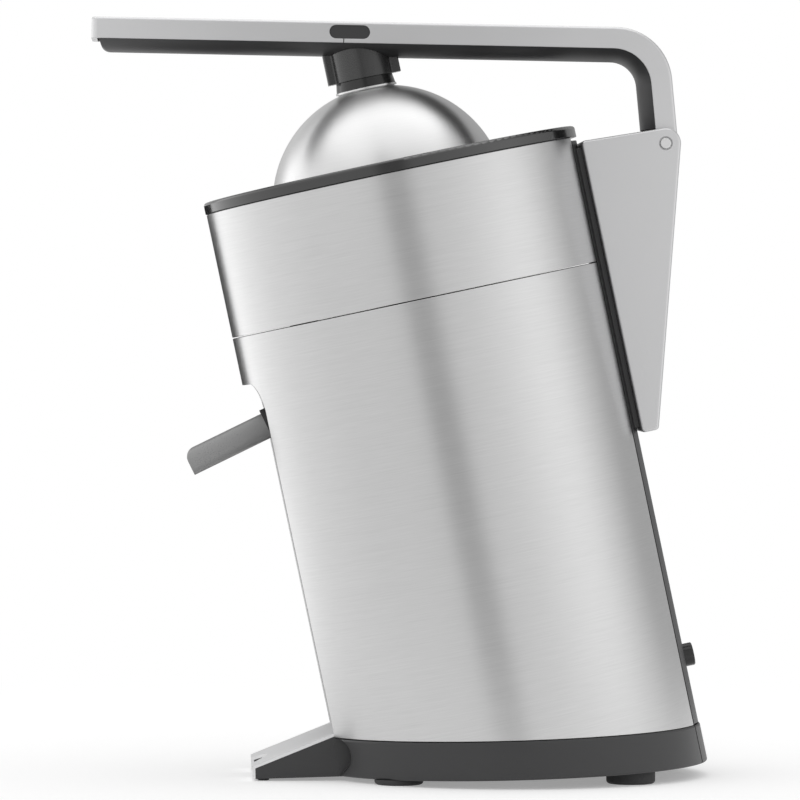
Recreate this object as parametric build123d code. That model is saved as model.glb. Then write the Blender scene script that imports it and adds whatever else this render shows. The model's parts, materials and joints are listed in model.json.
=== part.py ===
from build123d import *
import math
import os

# Lever citrus press, millimetres. World frame: +Z up, front at -X, floor at Z = 0.
# Most pieces are drawn in the body frame: its origin is the centre of the rim plane, +X to the rear,
# +Z up along the leaning body axis. The arm has a frame of its own at the hinge pin, +X along the arm.

# Body
BODY_LEAN = 11.9            # degrees, top leans to the front
BODY_R = 98.0
BODY_LENGTH = 296.0         # along the axis, from the base seam to the rim plane
AXIS_X = 55.61              # where the axis meets the base seam
SHEET = 1.0                 # steel sheet of shell and sleeve
SEAM_DEPTH = 69.0           # collector section, below the rim plane
SEAM_GAP = 0.5
REAR_INSET = 4.7            # the steel ends this far short of the rear, and the back panel fills the rest
FIT_GAP = 0.3               # between pieces that stand side by side
RUN_GAP = 0.05              # radial, shafts and pins in their bushes

# Base
BASE_RISE = 1.6             # degrees, the base climbs to the rear
BASE_HEIGHT = 20.5
BASE_CLEAR = 4.7            # under the base, at the axis
BASE_PROUD = 0.6
BASE_WALL = 4.0
BASE_FLOOR = 3.0
BASE_SHADOW_GAP = 0.8
BASE_EDGE_R = 1.0
CAVITY_GAP = 6.0            # the base is solid from this far behind the niche's back wall
CORD_BORE_R = 4.5
BOSS_R = 7.0
BOSS_HEIGHT = 9.0
ROD_R = 2.5
ROD_INSET = 18.0            # rods, from the outside of the body
ROD_ANGLE_REAR = 47.0
ROD_ANGLE_FRONT = 132.0

# Niche and front foot
NICHE_HALF = 40.0
NICHE_TOP = 94.2            # below the rim plane
NICHE_CORNER_R = 15.0
NICHE_DEPTH = 26.0          # from the front of the body to the niche's back wall
NICHE_WALL = 2.5
FOOT_PROUD = 35.3           # front end of the wedge, before the body
FOOT_NOSE = 14.0            # its top edge there, below the seam
FOOT_SLOPE = 20.3           # degrees
FOOT_NOTCH_R = 22.0
FOOT_NOTCH_DEPTH = 8.0
PLATE_T = 1.5
SCALLOP_R = 10.3
SCALLOP_INSET = 5.0
SCALLOP_DROP = 10.0

# Rubber feet: big pads round the axis and a small pair at the foot's nose
PAD_R = 12.5
PAD_INSET = 13.0
PAD_ANGLE_FRONT = 133.5
PAD_ANGLE_REAR = 45.3
PAD_EDGE_R = 1.8
STUD_R = 3.0
STUD_INSET = 6.2            # from the nose, and as much from the side
STUD_EDGE_R = 0.6

# Collector
LIP_HEIGHT = 3.6            # the rim ring, under the rim plane
LIP_RISE = 2.2              # the same ring, over the rim plane
LIP_EDGE_R = 1.6
RIM_LINE = 0.5              # shadow line between the ring and the steel
LIP_PROUD = 0.4
LIP_WIDTH = 7.4
BOWL_WALL = 2.5
BOWL_FLOOR = 3.0
CHIMNEY_R = 16.0
CHIMNEY_WALL = 2.5
CHIMNEY_TOP = 41.0          # below the rim plane
OUTLET_R = 6.0
OUTLET_WALL = 1.5
OUTLET_LENGTH = 14.0
STRAINER_GAP = 18.0         # from the outside of the body
STRAINER_DEPTH = 46.0       # its plate, below the rim plane
STRAINER_WALL_HEIGHT = 14.0
STRAINER_SHEET = 1.2
STRAINER_SLOTS = 36
SLOT_WIDTH = 2.0
SLOT_LENGTH = 22.0
SLOT_INSET = 18.0           # middle of the slots, from the strainer's edge
POST_R = 4.0
POST_INSET = 8.0

# Press axis, dome and cone
PRESS_X = -3.3              # the dome and the cone stand this far off the body axis
DOME_R = 61.0
DOME_SHEET = 1.2
DOME_DEPTH = 17.0           # its centre, below the rim plane
NECK_R = 15.6
NECK_TAPER = 0.8
NECK_HEIGHT = 5.0
WASHER_R = 16.0
WASHER_T = 1.0
WASHER_LEVEL = 42.6         # its underside, above the rim plane
HOUSING_R = 15.4
HOUSING_FRONT = 18.9
HOUSING_REAR = 19.4
HOUSING_HALF = 5.0          # half thickness of the fins beside the round part
HOUSING_EDGE_R = 1.0
BOLT_R = 3.0
BOLT_HEAD_R = 6.5
BOLT_HEAD_T = 3.5
BOLT_GRIP = 7.0
CONE_R = 38.0
CONE_TOP = 27.0             # above the rim plane
CONE_BASE_T = 3.0
CONE_LIFT = 3.0             # its base, over the strainer
CONE_RIBS = 10
CONE_TIP_R = 5.0
CONE_BULGE = 0.72           # width half way up, as a share of the base
RIB_WIDTH = 2.6
RIB_PROUD = 2.4
CONE_SKIN = 3.0

# Arm, in its own frame at the hinge pin
HINGE_PROUD = 43.3          # pin behind the body
HINGE_DEPTH = 16.8          # pin below the rim plane
ARM_RISE = 12.94            # degrees, against the rim plane
ARM_LENGTH = 297.1
ARM_TOP = 59.8
ARM_HALF = 20.0
ARM_BAND = 11.0
ARM_SKIN = 3.0
ARM_BEND_R = 29.5
ARM_BEND_EASE = 0.85        # the bend's radius falls by this share of the depth under the outer face
ARM_EDGE_R = 1.5
ARM_LEG_LEAN = 6.4
ARM_TIP_R = 3.0
EYE_R = 7.0                 # pin's centre to the leg's outer face and to its end
EYE_INSET = 0.2
LINER_DROP = 6.4            # its belly, in the middle
LINER_INSET = 1.0
LINER_NOSE = 4.3            # the liner starts this far behind the arm's tip
LINER_NOSE_R = 6.2
LINER_LEG_END = 9.0
INSERT_LENGTH = 21.0
INSERT_HEIGHT = 7.0
INSERT_X = -164.0           # along the arm, from the pin
INSERT_DROP = 5.4           # centre, below the arm's top
INSERT_SUNK = 0.5
SLIT_WIDTH = 0.5
SLIT_X = -167.0

# Hinge bracket
PIN_R = 2.8
PIN_PROUD = 0.4
BUSH_WALL = 1.5
BUSH_FLANGE = 0.7
CHEEK_T = 4.0
CHEEK_GAP = 1.0
CORNER_R = 8.0
BRACKET_EDGE_R = 1.4
BRACKET_CORNER_R = 2.2
PIN_RING = 0.7              # groove round the pin's head
PIN_RING_DEPTH = 1.4
BRACKET_TOP_FRONT = 6.8     # below the rim plane
BRACKET_BOTTOM = 160.6
BRACKET_FOOT_DEPTH = 9.6    # front to rear, at the bottom
BRACKET_WEB = 3.0
BRACKET_STAND_OFF = 0.4     # behind the back panel
SEAT_DROP = 3.2             # the panel's seat for the bracket, below the bracket's top
WEB_START = 11.2            # the rear web starts this far below the pin
BRACKET_SCREW_R = 2.2
BRACKET_SCREW_HEAD_R = 4.0
BRACKET_SCREW_HEAD_T = 2.5
BRACKET_SCREW_UPPER = 60.0
BRACKET_SCREW_LOWER = 135.0
BRACKET_SCREW_SPREAD = 11.0

# Spout, on the niche's centre line
SPOUT_INSET = 7.9           # where its axis leaves the socket, behind the front of the body
SPOUT_DEPTH = 117.2         # the same point, below the rim plane
SPOUT_DIP = 14.1            # degrees, against the rim plane
SPOUT_R = 6.75
SPOUT_BORE_R = 5.0
SPOUT_LENGTH = 44.7
SPOUT_LIP_R = 5.5
SOCKET_R = 12.3
BARREL_R = 8.0
BARREL_SETBACK = 9.0        # its pivot, behind the socket's face
BARREL_HALF = 8.5
TRUNNION_R = 2.5
SPOUT_SWING = 42.0          # degrees, tilted up to stop the drip
SLOT_SIDE_GAP = 0.4
CHUTE_WALL = 2.0
CHUTE_R = 9.0
CHUTE_GAP = 0.5             # behind the niche's back wall

# Back panel, switch and button
PANEL_TOP_GAP = 2.0
BUTTON_R = 6.0
BUTTON_PROUD = 5.0
BUTTON_RISE = 16.6          # over the base seam
BUTTON_TRAVEL = 2.5
BUTTON_STEM_R = 3.0
BUTTON_STEM = 8.0
BUTTON_SIDE_GAP = 0.25
BUTTON_EDGE_R = 0.8
CAP_START = 1.0             # the button's cap, behind the panel's inner face
SWITCH_WIDTH = 26.0
SWITCH_HEIGHT = 20.0
SWITCH_LENGTH = 18.0

# Drive
DECK_T = 3.0
DECK_BOSS_R = 12.0
DECK_BOSS_UP = 8.0
DECK_BOSS_DOWN = 8.0
SHAFT_R = 5.0
BUSH_OUTER_R = 8.0
GEAR_MODULE = 1.0
PINION_TEETH = 16
WHEEL_TEETH = 56
GEAR_BACKLASH = 0.18
PRESSURE_ANGLE = 20.0
WHEEL_T = 8.0
GEAR_LAYER_GAP = 3.0
GEAR_END_GAP = 0.6
AXLE_R = 3.0
GEAR_PLATE_T = 4.0
GEAR_PLATE_HALF_Y = 44.0
GEAR_PLATE_MARGIN = 8.0
GEAR_PLATE_CLEAR = 4.0      # from the steel shell
MOTOR_MARGIN = 0.5          # gear plate before the motor
PILLAR_INSET = 5.0          # pillars, from the gear plate's edges
PILLAR_R = 4.0
MOTOR_R = 29.5
MOTOR_WALL = 2.0
MOTOR_LENGTH = 70.0
MOTOR_SHAFT_R = 4.0
MOTOR_BUSH_R = 7.0
MOTOR_BUSH_LENGTH = 6.0
MAGNET_T = 6.0
MAGNET_ANGLE = 120.0
AIR_GAP = 0.6
ROTOR_LENGTH = 36.0
WINDING_HEIGHT = 5.0
WINDING_INSET = 4.0
COMMUTATOR_R = 10.0
COMMUTATOR_LENGTH = 8.0
BRUSH_WIDTH = 8.0
BRUSH_INSET = 1.0           # from either end of the commutator

FAR = 400.0                 # reach of cutting blocks, larger than the object
CUT_OVER = 1.0              # how far a cut runs past the face that it opens

# Places and sizes that follow from the body's radius and length
REAR_CHORD = BODY_R - REAR_INSET
ROD_CIRCLE = BODY_R - ROD_INSET
PAD_CIRCLE = BODY_R - PAD_INSET
NICHE_BACK = BODY_R - NICHE_DEPTH
BASE_CAVITY_FRONT = NICHE_BACK - CAVITY_GAP
FOOT_REACH = BODY_R + FOOT_PROUD
SCALLOP_X = BODY_R - SCALLOP_INSET
SPOUT_X = BODY_R - SPOUT_INSET
OUTLET_X = NICHE_BACK - NICHE_WALL - CHUTE_GAP - CHUTE_R
STRAINER_R = BODY_R - STRAINER_GAP
SLOT_CIRCLE = STRAINER_R - SLOT_INSET
POST_CIRCLE = STRAINER_R - POST_INSET
HINGE_REACH = BODY_R + HINGE_PROUD
BUTTON_DEPTH = BODY_LENGTH - BUTTON_RISE

# Frames
SEAM_Z = BASE_CLEAR + BASE_HEIGHT
LEAN = math.radians(BODY_LEAN)
RIM_X = AXIS_X - BODY_LENGTH * math.sin(LEAN)
RIM_Z = SEAM_Z + BODY_LENGTH * math.cos(LEAN)
BODY = Location((RIM_X, 0, RIM_Z), (0, -BODY_LEAN, 0))
BASE = Location((0, 0, -BODY_LENGTH), (0, BODY_LEAN - BASE_RISE, 0))
HINGE = Location((HINGE_REACH, 0, -HINGE_DEPTH), (0, ARM_RISE, 0))
SPOUT = Location((-SPOUT_X, 0, -SPOUT_DEPTH), (0, -SPOUT_DIP, 0))

# Levels along the body axis, from the rim plane down
SLEEVE_BOTTOM = -SEAM_DEPTH
DECK_TOP = SLEEVE_BOTTOM - SEAM_GAP
DECK_BOTTOM = DECK_TOP - DECK_T
WHEEL_TOP = DECK_BOTTOM - DECK_BOSS_DOWN - GEAR_END_GAP
WHEEL_BOTTOM = WHEEL_TOP - WHEEL_T
IDLER_TOP = WHEEL_BOTTOM - GEAR_LAYER_GAP
IDLER_BOTTOM = IDLER_TOP - WHEEL_T
GEAR_PLATE_TOP = IDLER_BOTTOM - GEAR_LAYER_GAP
GEAR_PLATE_BOTTOM = GEAR_PLATE_TOP - GEAR_PLATE_T
STRAINER_TOP = -STRAINER_DEPTH
CONE_BOTTOM = STRAINER_TOP + CONE_LIFT
BOWL_FLOOR_TOP = SLEEVE_BOTTOM + BOWL_FLOOR
SLEEVE_TOP = -LIP_HEIGHT
IDLER_X = PRESS_X + GEAR_MODULE * (PINION_TEETH + WHEEL_TEETH) / 2

solids = {}


def keep(name, shape, frame=BODY):
    """Put a piece into the world frame under its node's name."""
    solids[name] = frame * shape


def bar(radius, low, high, x=0.0, y=0.0):
    """Upright round bar between two levels."""
    return Pos(x, y, (low + high) / 2) * Cylinder(radius, high - low)


def tube(outer, inner, low, high, x=0.0, y=0.0):
    """Upright tube between two levels."""
    return bar(outer, low, high, x, y) - bar(inner, low - CUT_OVER, high + CUT_OVER, x, y)


def block(x0, x1, y0, y1, z0, z1):
    """Box between corner values."""
    return Pos((x0 + x1) / 2, (y0 + y1) / 2, (z0 + z1) / 2) * Box(x1 - x0, y1 - y0, z1 - z0)


def slab(outline, y0, y1):
    """Side-view outline, drawn in X and Z, as a plate between two Y values."""
    return extrude(Plane.XZ.offset(-y1) * outline, y1 - y0)


def cross_bar(radius, y0, y1, x=0.0, z=0.0):
    """Round bar along Y."""
    return slab(Pos(x, z) * Circle(radius), y0, y1)


def rounded_sides(shape, radius):
    """Round the edges of the two faces that look to either side."""
    faces = shape.faces().sort_by(Axis.Y)
    return fillet(faces[0].edges() + faces[-1].edges(), radius)


def above(frame, level=0.0):
    """Everything above a level of a frame."""
    return frame * block(-FAR, FAR, -FAR, FAR, level, level + FAR)


def below(frame, level=0.0):
    """Everything below a level of a frame."""
    return frame * block(-FAR, FAR, -FAR, FAR, level - FAR, level)


def behind(x):
    """Everything to the rear of a plane across the body frame."""
    return block(x, FAR, -FAR, FAR, -2 * FAR, FAR)


def in_front(x):
    """Everything in front of a plane across the body frame."""
    return block(-FAR, x, -FAR, FAR, -2 * FAR, FAR)


def around(count, angle=0.0):
    """Turns about the body axis, evenly spaced."""
    return [Rot(0, 0, angle + 360.0 * step / count) for step in range(count)]


def niche_block(half, top, front, back, corner):
    """Upright block with round top corners, the shape of the front niche."""
    low = -BODY_LENGTH - SEAM_DEPTH
    outline = Pos(0, (low - top) / 2) * RectangleRounded(2 * half, -top - low, corner)
    return extrude(Plane.YZ.offset(front) * outline, back - front)


def foot_top(drop=0.0):
    """Frame on the sloping top of the front foot, sunk by a drop; +Z is square to the slope."""
    nose = BASE * Location((-FOOT_REACH, 0, -FOOT_NOSE), (0, -FOOT_SLOPE, 0))
    return nose * Pos(0, 0, -drop)


def gear(teeth, thickness, level, half_pitch_turn):
    """Spur gear with involute flanks, its underside at a level."""
    pitch_r = GEAR_MODULE * teeth / 2
    base_r = pitch_r * math.cos(math.radians(PRESSURE_ANGLE))
    root_r = pitch_r - 1.25 * GEAR_MODULE
    tip_r = pitch_r + GEAR_MODULE

    def flank_angle(radius):
        ratio = min(1.0, base_r / radius)
        roll = math.acos(ratio)
        return math.tan(roll) - roll

    half_tooth = (math.pi * GEAR_MODULE / 2 - GEAR_BACKLASH) / (2 * pitch_r) + flank_angle(pitch_r)
    start_r = max(base_r, root_r)
    flank = [start_r + (tip_r - start_r) * step / 3 for step in range(4)]
    if root_r < base_r:
        flank = [root_r] + flank
    points = []
    for tooth in range(teeth):
        centre = 2 * math.pi * (tooth + 0.5 * half_pitch_turn) / teeth
        sides = [(r, centre - half_tooth + flank_angle(r)) for r in flank]
        sides += [(r, centre + half_tooth - flank_angle(r)) for r in reversed(flank)]
        points += [(r * math.cos(a), r * math.sin(a)) for r, a in sides]
    face = make_face(Polyline(*points, close=True))
    return Pos(0, 0, level) * extrude(face, thickness)


# Base pan, with the wedge foot in front
def base_parts():
    top = -BASE_SHADOW_GAP
    base_r = BODY_R + BASE_PROUD
    low = -BODY_LENGTH - SEAM_DEPTH
    high = -BODY_LENGTH + SEAM_DEPTH
    drum = bar(base_r, low, high)
    wedge_back = -NICHE_BACK + NICHE_WALL
    foot_half = NICHE_HALF - FIT_GAP
    lip_back = -FOOT_REACH + PLATE_T
    wedge = block(lip_back, wedge_back, -foot_half, foot_half, -BASE_HEIGHT, FAR)
    under_plate = foot_top(PLATE_T)
    niche_gap = block(-FAR, wedge_back, -NICHE_HALF, NICHE_HALF, -FAR, FAR)
    lane = BASE * niche_gap
    notch_x = -FOOT_REACH + FOOT_NOTCH_DEPTH - FOOT_NOTCH_R
    notch = BASE * bar(FOOT_NOTCH_R, -FAR, FAR, notch_x)

    band = drum - above(BASE, top) - below(BASE, -BASE_HEIGHT)
    band = fillet(band.edges().filter_by(GeomType.ELLIPSE), BASE_EDGE_R)
    pan = band + (BASE * wedge)
    pan -= above(under_plate) & lane
    pan -= behind(REAR_CHORD + FIT_GAP)
    pan -= notch

    inner = bar(base_r - BASE_WALL, low, high) - below(BASE, BASE_FLOOR - BASE_HEIGHT)
    inner -= in_front(-BASE_CAVITY_FRONT)
    inner -= behind(REAR_CHORD - BASE_WALL)
    pan -= inner
    pan -= BASE * cross_bar(SCALLOP_R, NICHE_HALF, FAR, -SCALLOP_X, -SCALLOP_DROP)
    pan -= BASE * cross_bar(SCALLOP_R, -FAR, -NICHE_HALF, -SCALLOP_X, -SCALLOP_DROP)

    for x, y in rod_places():
        boss = bar(BOSS_R, low, boss_level(x), x, y) - below(BASE, BASE_FLOOR - BASE_HEIGHT)
        pan += boss
    cord_level = cord_height()
    cord_hole = Pos(REAR_CHORD, 0, cord_level) * Rot(0, 90, 0) * Cylinder(CORD_BORE_R, 4 * BASE_WALL)
    pan -= cord_hole
    keep("base_pan", pan)

    plate = BASE * block(-FOOT_REACH, wedge_back, -foot_half, foot_half, -FAR, FAR)
    plate = plate & (foot_top() * block(-FAR, FAR, -FAR, FAR, -PLATE_T, 0))
    lip = BASE * block(-FOOT_REACH, lip_back, -foot_half, foot_half, -BASE_HEIGHT, 0)
    plate += lip - above(foot_top())
    keep("foot_plate", plate - notch)

    rear = (band & behind(REAR_CHORD + 2 * FIT_GAP)) - cord_hole
    keep("cord_plate", rear)


def cord_height():
    """Level of the cord's bore in the body frame, half way up the base's rear."""
    return (BASE * Pos(BODY_R, 0, -BASE_HEIGHT / 2)).position.Z


def rod_places():
    """Four tie rods round the axis, clear of the niche."""
    places = []
    for angle in (ROD_ANGLE_REAR, ROD_ANGLE_FRONT):
        turn = math.radians(angle)
        for side in (-1, 1):
            places.append((ROD_CIRCLE * math.cos(turn), side * ROD_CIRCLE * math.sin(turn)))
    return places


def boss_level(x):
    """Top of a rod's boss over the sloping base floor, in the body frame."""
    slope = math.tan(math.radians(BODY_LEAN - BASE_RISE))
    return -BODY_LENGTH - BASE_HEIGHT + BASE_FLOOR + BOSS_HEIGHT - x * slope


def rubber_feet():
    """Pads that stand on the floor and reach up to the sloping base."""
    places = [(AXIS_X - FOOT_REACH + STUD_INSET, NICHE_HALF - STUD_INSET, STUD_R, STUD_EDGE_R)]
    for angle in (PAD_ANGLE_FRONT, PAD_ANGLE_REAR):
        turn = math.radians(angle)
        places.append((AXIS_X + PAD_CIRCLE * math.cos(turn), PAD_CIRCLE * math.sin(turn), PAD_R, PAD_EDGE_R))
    pads = []
    for x, y, radius, edge_r in places:
        for side in (-1, 1):
            pad = bar(radius, 0, SEAM_Z, x, side * y)
            pad = fillet(pad.edges().group_by(Axis.Z)[0], edge_r)
            pads.append(pad - above(BODY * BASE, -BASE_HEIGHT))
    keep("rubber_feet", Compound(children=pads), Location())


# Lower body: shell, niche, back panel and deck
def body_parts():
    low = -BODY_LENGTH - SEAM_DEPTH
    shell = tube(BODY_R, BODY_R - SHEET, low, DECK_TOP) - below(BASE)
    shell -= behind(REAR_CHORD)
    shell -= niche_block(NICHE_HALF, NICHE_TOP, -FAR, -NICHE_BACK + NICHE_WALL, NICHE_CORNER_R)
    keep("body_shell", shell)

    panel = niche_block(NICHE_HALF + NICHE_WALL, NICHE_TOP - NICHE_WALL, -BODY_R, -NICHE_BACK + NICHE_WALL,
                        NICHE_CORNER_R + NICHE_WALL)
    hollow = niche_block(NICHE_HALF, NICHE_TOP, -FAR, -NICHE_BACK, NICHE_CORNER_R)
    panel &= bar(BODY_R - SHEET - FIT_GAP, low, 0)
    panel -= below(BASE, FIT_GAP)
    panel -= BASE * block(-FAR, FAR, -NICHE_HALF, NICHE_HALF, -FAR, 0)
    panel -= hollow
    panel -= below(foot_top(-FIT_GAP)) & block(-FAR, FAR, -NICHE_HALF, NICHE_HALF, -FAR, 0)
    panel -= SPOUT * Rot(0, 90, 0) * Cylinder(OUTLET_R, 2 * SPOUT_X)
    keep("niche_panel", panel)

    back = bar(BODY_R, low, SLEEVE_TOP - PANEL_TOP_GAP) & behind(REAR_CHORD + FIT_GAP)
    back -= below(BASE)
    seat_half = ARM_HALF + CHEEK_GAP
    back += block(REAR_CHORD + FIT_GAP, BODY_R + BRACKET_STAND_OFF, -seat_half, seat_half,
                  -BRACKET_BOTTOM + SEAT_DROP, -BRACKET_TOP_FRONT - SEAT_DROP)
    back -= Pos(BODY_R, 0, -BUTTON_DEPTH) * Rot(0, 90, 0) * Cylinder(BUTTON_R + BUTTON_SIDE_GAP, 4 * BASE_WALL)
    for y, z in bracket_screw_places():
        back -= Pos(BODY_R, y, z) * Rot(0, 90, 0) * Cylinder(BRACKET_SCREW_R, 4 * BASE_WALL)
    keep("back_panel", back)

    deck = bar(BODY_R - SHEET - FIT_GAP, DECK_BOTTOM, DECK_TOP) - behind(REAR_CHORD)
    deck += bar(DECK_BOSS_R, DECK_BOTTOM - DECK_BOSS_DOWN, DECK_TOP + DECK_BOSS_UP, PRESS_X)
    deck -= bar(BUSH_OUTER_R, -FAR, 0, PRESS_X)
    deck -= bar(OUTLET_R + OUTLET_WALL + FIT_GAP, -FAR, 0, -OUTLET_X)
    keep("top_deck", deck)
    keep("deck_bush", tube(BUSH_OUTER_R, SHAFT_R + RUN_GAP, DECK_BOTTOM - DECK_BOSS_DOWN,
                           DECK_TOP + DECK_BOSS_UP, PRESS_X))

    rods = [bar(ROD_R, boss_level(x), DECK_BOTTOM, x, y) for x, y in rod_places()]
    keep("tie_rods", Compound(children=rods))


# Switch and button on the back panel
def switch_parts():
    inside = REAR_CHORD + FIT_GAP
    level = -BUTTON_DEPTH
    across = Rot(0, 90, 0)

    def lying(radius, x0, x1):
        return Pos((x0 + x1) / 2, 0, level) * across * Cylinder(radius, x1 - x0)

    cap_back = inside + CAP_START
    button = lying(BUTTON_R, cap_back, BODY_R + BUTTON_PROUD)
    button = fillet(button.faces().sort_by(Axis.X)[-1].edges(), BUTTON_EDGE_R)
    button += lying(BUTTON_STEM_R, inside - BUTTON_STEM, cap_back)
    keep("power_button", button)

    case = block(inside - SWITCH_LENGTH, inside, -SWITCH_WIDTH / 2, SWITCH_WIDTH / 2,
                 level - SWITCH_HEIGHT / 2, level + SWITCH_HEIGHT / 2)
    well = BUTTON_STEM + BUTTON_TRAVEL + FIT_GAP
    case -= lying(BUTTON_STEM_R + RUN_GAP, inside - well, inside + CUT_OVER)
    case -= lying(BUTTON_R + BUTTON_SIDE_GAP, inside - BUTTON_TRAVEL, inside + CUT_OVER)
    keep("switch_body", case)


# Juice collector: sleeve, bowl, rim, strainer
def collector_parts():
    sleeve = tube(BODY_R, BODY_R - SHEET, SLEEVE_BOTTOM, SLEEVE_TOP - RIM_LINE) - behind(REAR_CHORD)
    keep("collector_sleeve", sleeve)

    bowl_r = BODY_R - SHEET
    bowl = bar(bowl_r, SLEEVE_BOTTOM, SLEEVE_TOP) - behind(REAR_CHORD)
    inner = bar(bowl_r - BOWL_WALL, BOWL_FLOOR_TOP, 0) - behind(REAR_CHORD - BOWL_WALL)
    bowl -= inner
    bowl += bar(CHIMNEY_R, SLEEVE_BOTTOM, -CHIMNEY_TOP - BOWL_FLOOR, PRESS_X)
    bowl -= bar(CHIMNEY_R - CHIMNEY_WALL, -FAR, 0, PRESS_X)
    outlet_r = OUTLET_R + OUTLET_WALL
    bowl += bar(outlet_r, DECK_BOTTOM - OUTLET_LENGTH + DECK_T, BOWL_FLOOR_TOP, -OUTLET_X)
    bowl -= bar(OUTLET_R, -FAR, 0, -OUTLET_X)
    post = bar(POST_R, SLEEVE_BOTTOM, STRAINER_TOP - STRAINER_SHEET, POST_CIRCLE)
    for turn in around(4, 45):
        bowl += Pos(PRESS_X, 0, 0) * turn * post
    keep("collector_bowl", bowl)

    lip_r = BODY_R + LIP_PROUD
    rim = tube(lip_r, lip_r - LIP_WIDTH, SLEEVE_TOP, LIP_RISE)
    rim = fillet(rim.edges().group_by(Axis.Z)[-1], LIP_EDGE_R)
    keep("rim_ring", rim)

    hub_r = CHIMNEY_R + FIT_GAP
    strainer = tube(STRAINER_R, hub_r, STRAINER_TOP - STRAINER_SHEET, STRAINER_TOP)
    strainer += tube(STRAINER_R, STRAINER_R - STRAINER_SHEET, STRAINER_TOP - STRAINER_SHEET,
                     STRAINER_TOP + STRAINER_WALL_HEIGHT)
    slot = Pos(SLOT_CIRCLE, 0, STRAINER_TOP) * Box(SLOT_LENGTH, SLOT_WIDTH, 4 * STRAINER_SHEET)
    strainer -= [turn * slot for turn in around(STRAINER_SLOTS)]
    keep("strainer", Pos(PRESS_X, 0, 0) * strainer)


# Cone, its shaft and the gears
def drive_parts():
    foot = CONE_BOTTOM + CONE_BASE_T

    def half_view(grow):
        top = CONE_TOP + grow - RIB_PROUD
        half_way = (CONE_BULGE * CONE_R + grow, (foot + top) / 2)
        side = ThreePointArc((CONE_R + grow, foot), half_way, (CONE_TIP_R, top))
        rest = Polyline((CONE_TIP_R, top), (0, top), (0, CONE_BOTTOM), (CONE_R + grow, CONE_BOTTOM),
                        (CONE_R + grow, foot))
        return make_face(Curve() + [side, rest])

    cone = revolve(Plane.XZ * half_view(0), Axis.Z)
    blade = slab(half_view(RIB_PROUD), -RIB_WIDTH / 2, RIB_WIDTH / 2)
    cone += [turn * blade for turn in around(CONE_RIBS)]
    well_r = CHIMNEY_R + CONE_SKIN
    cone -= bar(well_r, -FAR, -CHIMNEY_TOP + CONE_SKIN)
    shaft_top = CONE_TOP - 4 * CONE_SKIN
    cone -= bar(SHAFT_R, -FAR, shaft_top)
    keep("reamer_cone", Pos(PRESS_X, 0, 0) * cone)

    keep("drive_shaft", bar(SHAFT_R, WHEEL_BOTTOM, shaft_top, PRESS_X))
    wheel = gear(WHEEL_TEETH, WHEEL_T, WHEEL_BOTTOM, 0) - bar(SHAFT_R, -FAR, 0)
    keep("output_gear", Pos(PRESS_X, 0, 0) * wheel)

    idler = gear(WHEEL_TEETH, WHEEL_T, IDLER_BOTTOM, 0)
    idler += gear(PINION_TEETH, WHEEL_TOP - IDLER_TOP, IDLER_TOP, 1)
    idler -= bar(AXLE_R + RUN_GAP, -FAR, 0)
    keep("idler_gear", Pos(IDLER_X, 0, 0) * idler)
    keep("idler_axle", bar(AXLE_R, GEAR_PLATE_TOP, DECK_BOTTOM, IDLER_X))

    pinion = gear(PINION_TEETH, WHEEL_T, IDLER_BOTTOM, 1) - bar(MOTOR_SHAFT_R, -FAR, 0)
    keep("pinion", Pos(PRESS_X, 0, 0) * pinion)


def gear_plate_ends():
    """Front and rear edges of the gear plate."""
    wheel_r = GEAR_MODULE * WHEEL_TEETH / 2 + GEAR_MODULE
    return PRESS_X - MOTOR_R - MOTOR_MARGIN, IDLER_X + wheel_r + GEAR_PLATE_MARGIN


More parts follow.
